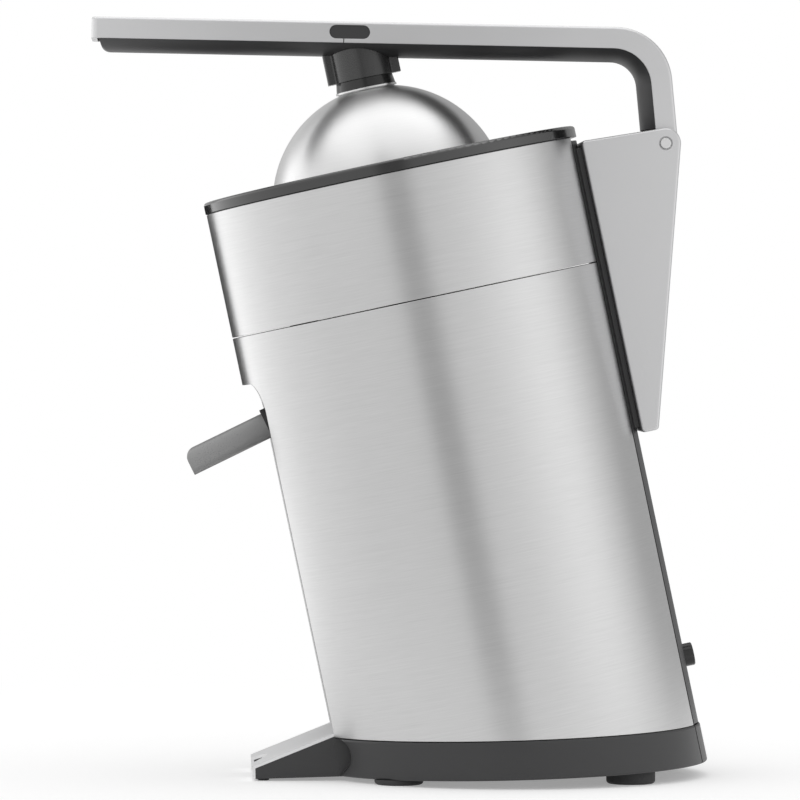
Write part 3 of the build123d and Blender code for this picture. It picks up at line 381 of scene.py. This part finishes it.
black_plastic = moulding("black_plastic", PLASTIC, (0.030, 0.030, 0.031), 0.42, 0.02 * MM)
gloss_black = moulding("gloss_black", PLASTIC, (0.012, 0.012, 0.012), 0.16, 0.002 * MM)
grey_plastic = moulding("grey_plastic", PLASTIC, (0.30, 0.30, 0.30), 0.28, 0.006 * MM)
gear_plastic = moulding("gear_plastic", PLASTIC, (0.74, 0.72, 0.66), 0.45, 0.01 * MM)
rubber = moulding("rubber", PLASTIC, (0.035, 0.035, 0.036), 0.75, 0.03 * MM, RUBBER_PEBBLES)
satin_black = moulding("satin_black", 1.65, (0.018, 0.018, 0.018), 0.27, 0.002 * MM)
rim_black = moulding("rim_black", 1.85, (0.004, 0.004, 0.004), 0.15, 0.001 * MM)
print("plastics:", black_plastic.name, grey_plastic.name, "and 5 more")

# %% [markdown]
# ## Dress the frame
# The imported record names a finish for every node, so one table joins those names to the materials above. Two
# black mouldings shine more than the rest and have their own. The faces are shaded smooth: the frame keeps
# the faces of each solid apart, so their borders stay crisp.

# %% Dress the frame
FINISHES = {
    "brushed_steel": brushed_steel, "strainer_steel": bright_steel, "satin_aluminium": satin_aluminium,
    "silver_paint": silver_paint, "black_plastic": black_plastic, "gloss_black": gloss_black,
    "grey_plastic": grey_plastic, "rubber": rubber, "bright_steel": bright_steel, "gear_plastic": gear_plastic,
    "motor_steel": zinc_steel, "iron": iron, "copper": copper, "bronze": bronze,
}
SMOOTHER = {"rim_ring": rim_black, "dome_housing": satin_black}


def shade_smooth(mesh):
    mesh.polygons.foreach_set("use_smooth", [True] * len(mesh.polygons))


for subpart in frame["record"]["subparts"]:
    node_mesh = nodes[subpart["node"]].data
    node_mesh.materials.clear()
    node_mesh.materials.append(SMOOTHER.get(subpart["node"], FINISHES[subpart["material_slot"]]))
    shade_smooth(node_mesh)

# %% [markdown]
# ## Rolled steel sheets
# The shell and the sleeve are sheet rolled round the body's axis, and the dome is spun round the press axis.
# They are made again here in frames that lean with the machine, for two reasons: the grain then runs parallel
# to the rim, and the sheet gets the small rounded edge that draws a bright line along a cut. A grid of quads
# is bent round the axis, and modifiers give it thickness to the inside and break its edges. First come the
# sizes, as heights from the rim plane, and the two edges of the shell that aren't level.

# %% Sizes and edges of the sheets
BODY_R = 98 * MM
SHEET = 1 * MM
SHEET_EDGE = 0.3 * MM
SHARP_EDGE = math.radians(40)
REAR_CHORD = 93.3 * MM          # the sheets end here, beside the back panel
SLEEVE_TOP = -4.1 * MM
SLEEVE_BOTTOM = -69 * MM
SHELL_TOP = -69.5 * MM
SEAM_LEVEL = -296.5 * MM
SEAM_SLOPE = math.tan(math.radians(10.3))
NICHE_HALF = 40 * MM
NICHE_TOP = -94.2 * MM
NICHE_CORNER = 15 * MM
NICHE_FLAT = NICHE_HALF - NICHE_CORNER
SHOULDER = NICHE_TOP - NICHE_CORNER
REAR_TURN = math.acos(-REAR_CHORD / BODY_R)
NICHE_TURN = math.asin(NICHE_HALF / BODY_R)


def spaced(low, high, count):
    """Evenly spaced values, both ends included."""
    return [low + (high - low) * step / count for step in range(count + 1)]


def niche_turns(count):
    """Turns across the niche, closer together round its corners."""
    corner = [NICHE_FLAT + NICHE_CORNER * math.sin(angle) for angle in spaced(0, math.pi / 2, count)]
    sides = [-y for y in reversed(corner)] + spaced(-NICHE_FLAT, NICHE_FLAT, count)[1:-1] + corner
    return [math.asin(y / BODY_R) for y in sides]


def niche_edge(turn):
    """Height of the niche's arch over a turn."""
    past = abs(BODY_R * math.sin(turn)) - NICHE_FLAT
    if past <= 0:
        return NICHE_TOP
    return SHOULDER + math.sqrt(max(0.0, NICHE_CORNER ** 2 - past ** 2))


def base_edge(turn):
    """Height of the sloping seam with the base, under a turn."""
    return SEAM_LEVEL + BODY_R * math.cos(turn) * SEAM_SLOPE


print("shell is", round((SHELL_TOP - SEAM_LEVEL) / MM, 1), "mm high at its sides")

# %% [markdown]
# ## Making a sheet
# A sheet could be cut from a solid with booleans, but a bent grid keeps clean quads along the grain. Each
# piece then rides on the body that carries it, and takes the place of its plain node.


# %% Making a sheet
def bend_grid(shape, turns, column):
    """Quads round the body's axis: a column of heights over each turn, counted from the front."""
    lines = []
    for turn in turns:
        x, y = -BODY_R * math.cos(turn), BODY_R * math.sin(turn)
        lines.append([shape.verts.new((x, y, height)) for height in column(turn)])
    for left, right in zip(lines, lines[1:]):
        for row in range(len(left) - 1):
            shape.faces.new((left[row], left[row + 1], right[row + 1], right[row]))


def steel_piece(name, shape, leaning_frame, finish, body, stands_for):
    """A mesh made in a leaning frame, riding on a body in place of its node."""
    mesh = bpy.data.meshes.new(name)
    bmesh.ops.remove_doubles(shape, verts=shape.verts, dist=0.001 * MM)
    shape.to_mesh(mesh)
    shape.free()
    shade_smooth(mesh)
    mesh.materials.append(finish)
    made = bpy.data.objects.new(name, mesh)
    bpy.context.scene.collection.objects.link(made)
    made.matrix_world = leaning_frame
    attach(made, body)
    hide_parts(stands_for)
    return made


def thicken(piece):
    """Give a bent grid the thickness of the sheet, to the inside."""
    wall = piece.modifiers.new("sheet", "SOLIDIFY")
    wall.thickness = SHEET
    wall.offset = -1


def break_edges(piece):
    """Round the sharp edges of a sheet."""
    edge = piece.modifiers.new("broken_edge", "BEVEL")
    edge.width = SHEET_EDGE
    edge.segments = 2
    edge.limit_method = "ANGLE"
    edge.angle_limit = SHARP_EDGE
    edge.harden_normals = True


print("sheet tools ready, edges broken by", SHEET_EDGE / MM, "mm")

# %% [markdown]
# ## Sleeve and shell
# The sleeve is a plain band. The shell has the niche cut into its front, so its grid comes in three parts
# that share their borders: two flanks from the niche to the back panel, and the bridge over the niche.

# %% Sleeve and shell
SLEEVE_STEPS = 120
SLEEVE_ROWS = 4
FLANK_STEPS = 50
FLANK_ROWS = 6                  # from the seam up to the niche's shoulder
UPPER_ROWS = 3
NICHE_STEPS = 12                # round each corner of the niche, and across its top


def sleeve_column(turn):
    return spaced(SLEEVE_BOTTOM, SLEEVE_TOP, SLEEVE_ROWS)


def flank_column(turn):
    return spaced(base_edge(turn), SHOULDER, FLANK_ROWS) + spaced(SHOULDER, SHELL_TOP, UPPER_ROWS)[1:]


def bridge_column(turn):
    return spaced(niche_edge(turn), SHELL_TOP, UPPER_ROWS)


sleeve_shape = bmesh.new()
bend_grid(sleeve_shape, spaced(-REAR_TURN, REAR_TURN, SLEEVE_STEPS), sleeve_column)
sleeve = steel_piece("sleeve_sheet", sleeve_shape, BODY_FRAME, brushed_steel, "base", "collector_sleeve")

shell_shape = bmesh.new()
flank = spaced(NICHE_TURN, REAR_TURN, FLANK_STEPS)
for turns in (flank, [-turn for turn in reversed(flank)]):
    bend_grid(shell_shape, turns, flank_column)
bend_grid(shell_shape, niche_turns(NICHE_STEPS), bridge_column)
shell = steel_piece("shell_sheet", shell_shape, BODY_FRAME, brushed_steel, "base", "body_shell")

for piece in (sleeve, shell):
    thicken(piece)
    break_edges(piece)
print("sheets:", len(sleeve.data.polygons), len(shell.data.polygons), "quads")

# %% [markdown]
# ## Dome
# The dome is a spun bowl, open below, with a flat top and a hole for its bolt. The section of its wall is
# drawn once, outside first, and turned round the press axis.

# %% Dome
DOME_R = 61 * MM
DOME_SHEET = 1.2 * MM
DOME_CENTRE = -17 * MM
DOME_FLAT_R = 14.8 * MM         # flat top, under the washer
DOME_TOP = 42.6 * MM
DOME_BORE_R = 3 * MM
DOME_ARC_STEPS = 28
DOME_TURN_STEPS = 128


def dome_arc(radius, start, end):
    """Radius and height of points along an arc of the section."""
    angles = spaced(start, end, DOME_ARC_STEPS)
    return [(radius * math.cos(angle), DOME_CENTRE + radius * math.sin(angle)) for angle in angles]


def dome_profile():
    """Radius and height of points round the section of the dome's wall, outside first."""
    inner_r = DOME_R - DOME_SHEET
    inner_top = DOME_TOP - DOME_SHEET
    outer = dome_arc(DOME_R, 0, math.acos(DOME_FLAT_R / DOME_R))
    inner = dome_arc(inner_r, math.asin((inner_top - DOME_CENTRE) / inner_r), 0)
    top = [(DOME_FLAT_R, DOME_TOP), (DOME_BORE_R, DOME_TOP), (DOME_BORE_R, inner_top)]
    return outer + top + inner


dome_shape = bmesh.new()
rings = []
for turn in spaced(0, 2 * math.pi, DOME_TURN_STEPS)[:-1]:
    section = [(radius * math.cos(turn), radius * math.sin(turn), height) for radius, height in dome_profile()]
    rings.append([dome_shape.verts.new(point) for point in section])
for here, there in zip(rings, rings[1:] + rings[:1]):
    for index in range(len(here)):
        before = index - 1
        dome_shape.faces.new((here[before], there[before], there[index], here[index]))
dome = steel_piece("dome_sheet", dome_shape, PRESS_FRAME, dome_steel, "arm", "press_dome")
break_edges(dome)
print("dome:", len(dome.data.polygons), "quads")

# %% [markdown]
# ## Plain light
# The light is a plain white surround. Rays that only show the surround, to the camera or in a reflection, see
# it white. The light that falls on the machine is a little weaker, so that pale surfaces don't clip.

# %% Plain light
SURROUND = 0.9


def white_background(start, strength):
    """1 for rays that show the surround itself, and a plain strength for the light that it gives."""
    rays = start.node("ShaderNodeLightPath")
    seen = rays.beside("Is Camera Ray") + rays.beside("Is Glossy Ray") + rays.beside("Is Transmission Ray")
    return strength + (1.0 - strength) * start.maths("MINIMUM", seen, 1.0)


world = bpy.data.worlds.new("white_surround")
bpy.context.scene.world = world
world.use_nodes = True
background = world.node_tree.nodes["Background"]
background.inputs["Color"].default_value = (1, 1, 1, 1)
surround = Wire(world.node_tree)
surround.plug(white_background(surround, SURROUND), background.inputs["Strength"])
print("surround:", SURROUND)

# %% [markdown]
# ## Panels
# Steel shows what stands around it, so a ring of panels stands close to the machine for reflections only, set
# as a photographer would set them: bright to both sides, with a gap for the camera between them. The ring
# leans with the body: seen from its side, the body then shows the same panel all the way up. A dark card
# close behind the front edge draws a thin line there. Over the rim the panels change a little, for the dome
# and the arm. A lid brightens the upper edges, and a lamp strip in it draws a line along rounded rims.

# %% Strength of the panels
# Degrees round the object from the camera, positive to the rear of the machine, and the panel's strength there
PANELS = [
    (-180, 0.95), (-140, 0.95), (-127, 1.55), (-107, 1.25), (-82, 1.0), (-50, 0.85),
    (-9, 0.8), (-4, 0.45), (6, 0.45), (12, 0.82), (30, 0.9), (59, 1.17), (72, 1.15), (107, 0.53),
    (150, 0.45), (162, 0.35), (168, 0.95), (180, 0.95),
]
PEAK = max(strength for degrees, strength in PANELS)
OVER_RIM = 0.03                 # higher than this over the rim plane, no panel is darker than the next value
OVER_RIM_LEAST = 0.45
BEHIND = 0.22                   # further behind the machine than this, the panels over the rim are dimmed
BEHIND_DIM = 0.45
ARM_LOW = 0.06                  # the arm shows the panels between these heights
ARM_HIGH = 0.22
ARM_REACH = 0.15                # to either side this far, they go from bright in front to dim at the rear
ARM_TILT = 0.30
LID_STRENGTH = 1.3
STRIP_STRENGTH = 1.9
STRIP_NEAR = -0.05              # the lamp strip, across the lid
STRIP_FAR = 0.15
LID_MEAN = (1 + LID_STRENGTH / STRIP_STRENGTH) / 2
LID_SPREAD = 1 / LID_MEAN - 1
FLAG_GREY = 0.04
FLAG_CLOUDS = 20.0              # cells to the metre


def panel_wires(start):
    """Strength by the turn from the camera, with the changes over the rim."""
    x, y, z = axes(start)
    turn = start.maths("ARCTAN2", x, y * -1.0) / (2 * math.pi) + 0.5
    stops = [((degrees + 180) / 360, strength / PEAK) for degrees, strength in PANELS]
    strength = start.node("ShaderNodeValToRGB", {"stops": stops}, {0: turn})
    over = start.maths("GREATER_THAN", z, OVER_RIM)
    behind = start.maths("GREATER_THAN", y, BEHIND)
    to_rear = start.node("ShaderNodeMapRange", {}, {
        "Value": x, "From Min": -ARM_REACH, "From Max": ARM_REACH, "To Min": -ARM_TILT, "To Max": ARM_TILT})
    strength = strength * (1.0 - BEHIND_DIM * over * behind)
    strength = strength * (1.0 - to_rear * between(z, ARM_LOW, ARM_HIGH))
    return {"Emission Color": grey(start, start.maths("MAXIMUM", strength, over * (OVER_RIM_LEAST / PEAK)))}


def lid_wires(start):
    """The lid's strength, and more in the lamp strip."""
    x, y, z = axes(start)
    return {"Emission Color": tint(between(y, STRIP_NEAR, STRIP_FAR), [LID_MEAN] * 3, LID_SPREAD)}


def flag_wires(start):
    """A dark card, not quite even."""
    cloud = noise(start, place(start), FLAG_CLOUDS)
    return {"Base Color": grey(start, FLAG_GREY * (0.9 + 0.2 * cloud))}


def glow(name, strength, wires):
    """A panel that gives light and reflects none."""
    fixed = {"Base Color": (0, 0, 0, 1), "Specular IOR Level": 0.0, "Emission Strength": strength}
    return material(name, fixed, wires)


panel_finish = glow("panels", PEAK, panel_wires)
lid_finish = glow("lid", STRIP_STRENGTH, lid_wires)
flag_finish = material("flag_black", {"Roughness": 1.0, "Specular IOR Level": 0.0}, flag_wires)
print("panels:", len(PANELS), "stops")

# %% [markdown]
# ## Hanging the panels
# The panels are bare walls of flat strips. They are hidden from the camera and cast no shadow and no light on
# dull surfaces, so the plain light stays plain.

# %% Hanging the panels
RING_TOP_RADIUS = 0.45
RING_FOOT_RADIUS = 0.32         # narrower, so that the foot of the body shows panels and not the floor
RING_LOW = -0.33                # along the body's axis, from the rim plane
RING_HIGH = 0.40
RING_STEPS = 96
FLAG_NEAR = (-0.156, 0.066)     # ends of the dark card, seen from above
FLAG_FAR = (-0.085, 0.147)
FLAG_HIGH = 0.005
LID_LEVEL = 0.85
LID_HALF = 0.6
REFLECTED_ONLY = ["camera", "diffuse", "shadow", "transmission"]


def bare_mesh(name, points, faces):
    mesh = bpy.data.meshes.new(name)
    mesh.from_pydata(points, [], faces)
    return mesh


def ring_wall(name, foot, top):
    """A wall of flat strips all round local Z, between a radius and height at its foot and at its top."""
    points = []
    for turn in spaced(0, 2 * math.pi, RING_STEPS)[:-1]:
        points += [(radius * math.sin(turn), -radius * math.cos(turn), z) for radius, z in (foot, top)]
    faces = []
    for step in range(RING_STEPS):
        here, there = 2 * step, 2 * ((step + 1) % RING_STEPS)
        faces.append((here, here + 1, there + 1, there))
    return bare_mesh(name, points, faces)


def card(name, near, far, low, high):
    """An upright card between two points of the plan."""
    return bare_mesh(name, [(*near, low), (*far, low), (*far, high), (*near, high)], [(0, 1, 2, 3)])


def square(name, half, level):
    """A level square about the origin."""
    corners = [(x * half, y * half, level) for x, y in ((-1, -1), (1, -1), (1, 1), (-1, 1))]
    return bare_mesh(name, corners, [(0, 1, 2, 3)])


def studio_piece(mesh, finish, unseen=()):
    """Stage dressing, hidden from the rays that are named."""
    mesh.materials.append(finish)
    made = bpy.data.objects.new(mesh.name, mesh)
    bpy.context.scene.collection.objects.link(made)
    for rays in unseen:
        setattr(made, "visible_" + rays, False)
    return made


ring_mesh = ring_wall("studio_panels", (RING_FOOT_RADIUS, RING_LOW), (RING_TOP_RADIUS, RING_HIGH))
flag_mesh = card("studio_flag", FLAG_NEAR, FLAG_FAR, RING_LOW, FLAG_HIGH)
panels = studio_piece(ring_mesh, panel_finish, REFLECTED_ONLY)
flag = studio_piece(flag_mesh, flag_finish, REFLECTED_ONLY)
for leaning in (panels, flag):
    leaning.matrix_world = BODY_FRAME @ Matrix.Rotation(CAMERA_TURN, 4, "Z")
lid = studio_piece(square("studio_lid", LID_HALF, LID_LEVEL), lid_finish, REFLECTED_ONLY)
print("hung:", panels.name, flag.name, lid.name)

# %% [markdown]
# ## Floor
# The floor is white to the horizon, and keeps the soft shadow close to the machine. Close by it is a pale
# floor that reflects the light falling on it. Further out it turns into a plain white that shows no horizon.

# %% Floor
FLOOR_HALF = 6.0
FLOOR_COLOUR = 0.82
FLOOR_LIFT = 0.30               # glow close to the machine
FLOOR_CLOUDS = 3.0              # cells to the metre
FADE_START = 0.30               # metres from the middle
FADE_END = 0.75


def floor_wires(start):
    """A pale colour close by, and a white glow that takes its place further out."""
    x, y, z = axes(start)
    fade = start.node("ShaderNodeMapRange", {"interpolation_type": "SMOOTHSTEP"},
                      {"Value": from_axis(x, y), "From Min": FADE_START, "From Max": FADE_END})
    cloud = 0.99 + 0.02 * noise(start, place(start), FLOOR_CLOUDS)
    glowing = FLOOR_LIFT + (1.0 - FLOOR_LIFT) * fade
    return {
        "Base Color": grey(start, FLOOR_COLOUR * (1.0 - fade) * cloud),
        "Emission Color": grey(start, glowing * white_background(start, SURROUND * FLOOR_COLOUR)),
    }


dull_glow = {"Roughness": 0.9, "Specular IOR Level": 0.0, "Emission Strength": 1.0}
floor = studio_piece(square("floor", FLOOR_HALF, 0.0), material("pale_floor", dull_glow, floor_wires))
print("floor:", floor.name)

# %% [markdown]
# ## End
# The looks must not change the size of the machine.

# %% End
print("end of the scene")
